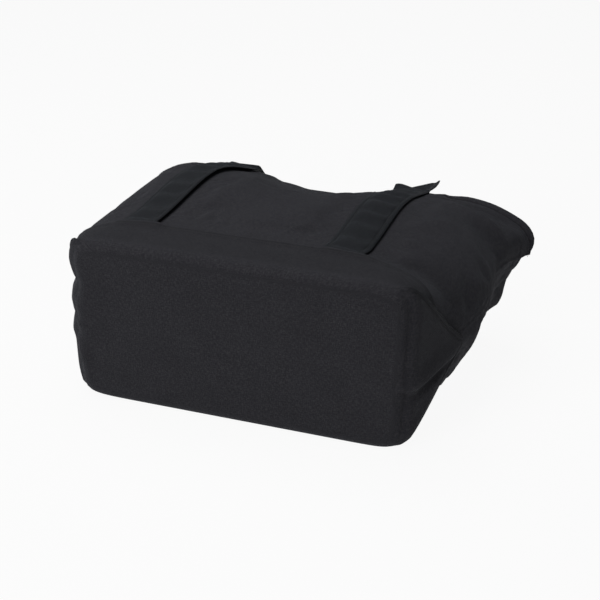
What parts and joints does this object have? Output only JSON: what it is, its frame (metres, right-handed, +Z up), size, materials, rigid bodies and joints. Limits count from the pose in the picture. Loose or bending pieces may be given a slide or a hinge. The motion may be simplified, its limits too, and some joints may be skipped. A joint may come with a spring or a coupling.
{
  "type": "canvas tote bag",
  "caption": "Limp dark canvas tote bag lying on its back panel, with turned-up bottom layer, boxed corners, open mouth and short strap handles.",
  "frame": {"origin": "on the floor under the middle of the whole bag as it lies on its back panel", "axes": "+X across the bag to its right side, -Y towards its base, +Y out of its mouth, +Z up from the floor"},
  "size_m": [0.4604, 0.3754, 0.1955],
  "materials": {
    "canvas": "matte",
    "strap": "matte"
  },
  "bodies": {
    "bag": {"back_panel": "canvas", "base_layer": "canvas", "corner_flap_left": "canvas", "corner_flap_right": "canvas", "front_panel": "canvas", "inner_base": "canvas", "mouth_hem_back": "canvas", "mouth_hem_front": "canvas", "strap_front_left": "strap", "strap_front_right": "strap", "strap_back_left": "strap", "strap_back_right": "strap"},
    "front_handle": {"handle_front": "strap"},
    "back_handle": {"handle_back": "strap"}
  },
  "joints": [
    {"name": "front_handle_fold", "type": "hinge", "parent": "bag", "child": "front_handle", "pos_m": [-0.00945, 0.09798, 0.16689], "axis": [0.9999, -0.0005, -0.0143], "range_deg": [0, 125]},
    {"name": "back_handle_fold", "type": "hinge", "parent": "bag", "child": "back_handle", "pos_m": [-0.03108, 0.08552, 0.009], "axis": [0.9998, 0.012, -0.0154], "range_deg": [0, 100]}
  ]
}
